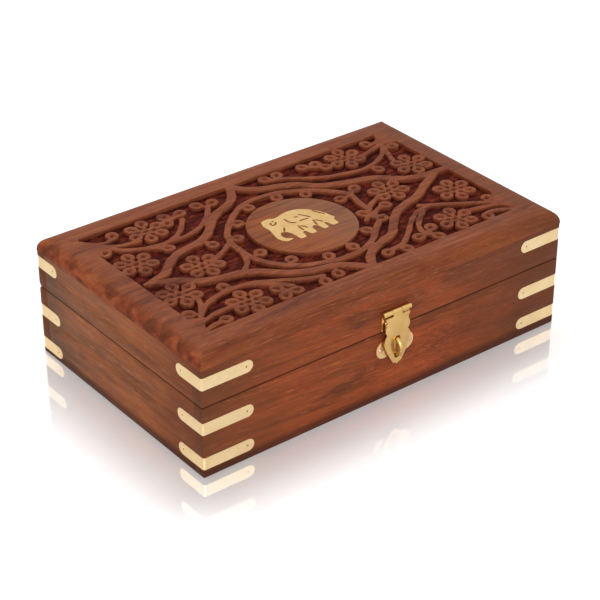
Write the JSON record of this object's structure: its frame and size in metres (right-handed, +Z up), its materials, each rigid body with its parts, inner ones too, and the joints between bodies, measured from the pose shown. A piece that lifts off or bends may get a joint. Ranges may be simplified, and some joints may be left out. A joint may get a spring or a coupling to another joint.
{
  "type": "jewelry box",
  "caption": "Hinged wooden jewelry box with a relief-carved lid, an inlaid brass elephant, brass corner strips and a hasp and staple.",
  "frame": {"origin": "middle of the box's footprint on its underside", "axes": "+X along the front to the right, -Y out of the front where the hasp is, +Z up"},
  "size_m": [0.203, 0.1331, 0.06],
  "materials": {
    "rosewood": "satin polished rosewood",
    "inlay_brass": "sanded flush and polished",
    "hasp_brass": "polished stamped sheet",
    "hinge_brass": "polished",
    "velvet": "short-pile velvet on card"
  },
  "bodies": {
    "base": {"base_back_board": "rosewood", "base_back_left_lower_strip": "inlay_brass", "base_back_left_upper_strip": "inlay_brass", "base_back_lining": "velvet", "base_back_right_lower_strip": "inlay_brass", "base_back_right_upper_strip": "inlay_brass", "base_bottom_panel": "rosewood", "base_floor_lining": "velvet", "base_front_board": "rosewood", "base_front_left_lower_strip": "inlay_brass", "base_front_left_upper_strip": "inlay_brass", "base_front_lining": "velvet", "base_front_right_lower_strip": "inlay_brass", "base_front_right_upper_strip": "inlay_brass", "base_hinge_screws": "hinge_brass", "base_left_board": "rosewood", "base_left_lining": "velvet", "base_right_board": "rosewood", "base_right_lining": "velvet", "left_hinge_base_leaf": "hinge_brass", "left_hinge_pin": "hinge_brass", "right_hinge_base_leaf": "hinge_brass", "right_hinge_pin": "hinge_brass", "staple_loop": "hasp_brass", "staple_plate": "hasp_brass", "staple_plate_nails": "hasp_brass"},
    "lid": {"elephant_inlay": "inlay_brass", "hasp_fixed_plate": "hasp_brass", "hasp_pin": "hasp_brass", "hasp_plate_nails": "hasp_brass", "left_hinge_lid_leaf": "hinge_brass", "lid_back_board": "rosewood", "lid_back_left_strip": "inlay_brass", "lid_back_lining": "velvet", "lid_back_right_strip": "inlay_brass", "lid_front_board": "rosewood", "lid_front_left_strip": "inlay_brass", "lid_front_lining": "velvet", "lid_front_right_strip": "inlay_brass", "lid_hinge_screws": "hinge_brass", "lid_left_board": "rosewood", "lid_left_lining": "velvet", "lid_right_board": "rosewood", "lid_right_lining": "velvet", "lid_top_lining": "velvet", "lid_top_panel": "rosewood", "right_hinge_lid_leaf": "hinge_brass"},
    "hasp": {"hasp_leaf": "hasp_brass"}
  },
  "joints": [
    {"name": "lid_hinge", "type": "hinge", "parent": "base", "child": "lid", "pos_m": [0, 0.0619, 0.035], "axis": [-1, 0, 0], "range_deg": [0, 98]},
    {"name": "hasp_hinge", "type": "hinge", "parent": "lid", "child": "hasp", "pos_m": [0.0017, -0.0648, 0.044], "axis": [-1, 0, 0], "range_deg": [0, 175]}
  ]
}
